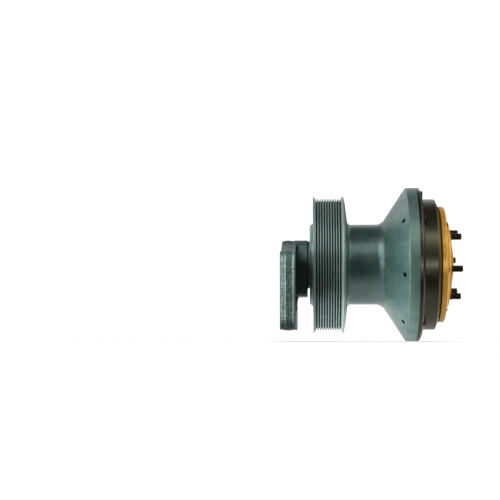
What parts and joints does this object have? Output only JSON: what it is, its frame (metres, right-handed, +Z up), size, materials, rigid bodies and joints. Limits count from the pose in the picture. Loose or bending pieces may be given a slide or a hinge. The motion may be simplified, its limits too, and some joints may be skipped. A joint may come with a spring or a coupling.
{
  "type": "fan clutch",
  "caption": "Engine-mounted fan drive: cast bracket, ribbed belt pulley with a flared hub, and an enclosed friction clutch that turns a fan disc with studs and a domed pilot.",
  "frame": {"origin": "on the fan's axis, in the plane of the bracket's mounting face", "axes": "+X along the fan's axis towards the fan, +Z up, +Y towards the bracket's plain arm"},
  "size_m": [0.246, 0.264, 0.2132],
  "materials": {
    "painted_casting": "semi-gloss paint over a sand casting",
    "dark_drum": "dark olive-brown coating, semi-gloss",
    "gold_plate": "turned steel with yellow zinc plating",
    "black_steel": "black oxide",
    "steel": "ground and turned",
    "rubber": "matt",
    "friction": "moulded friction material"
  },
  "bodies": {
    "bracket": {"mounting_bracket": "painted_casting", "spindle": "steel", "rear_bearing_inner_ring": "steel", "front_bearing_inner_ring": "steel", "hub_bearing_inner_ring": "steel", "spindle_nut": "steel", "hub_nut": "steel", "air_seal": "rubber"},
    "pulley": {"pulley_hub": "painted_casting", "rear_bearing_outer_ring": "steel", "front_bearing_outer_ring": "steel", "grease_seal": "rubber", "drum_flange": "dark_drum", "clutch_drum": "dark_drum", "drum_screws": "black_steel"},
    "fan_disc": {"fan_hub": "gold_plate", "pilot_cap": "gold_plate", "fan_studs": "black_steel", "marked_screws": "black_steel", "drive_pins": "steel", "hub_bearing_outer_ring": "steel", "spring_retainer": "steel", "clutch_spring": "steel"},
    "clutch_plate": {"pressure_plate": "steel", "friction_lining": "friction", "release_piston": "steel"}
  },
  "joints": [
    {"name": "pulley_spin", "type": "hinge", "parent": "bracket", "child": "pulley", "pos_m": [0, 0, 0], "axis": [1, 0, 0], "continuous": true},
    {"name": "fan_spin", "type": "hinge", "parent": "bracket", "child": "fan_disc", "pos_m": [0, 0, 0], "axis": [1, 0, 0], "continuous": true},
    {"name": "clutch_release", "type": "slide", "parent": "fan_disc", "child": "clutch_plate", "axis": [-1, 0, 0], "range_m": [0, 0.002], "stiffness_N_per_m": 20000, "springref_m": -0.004, "deforming": ["clutch_spring"]}
  ]
}
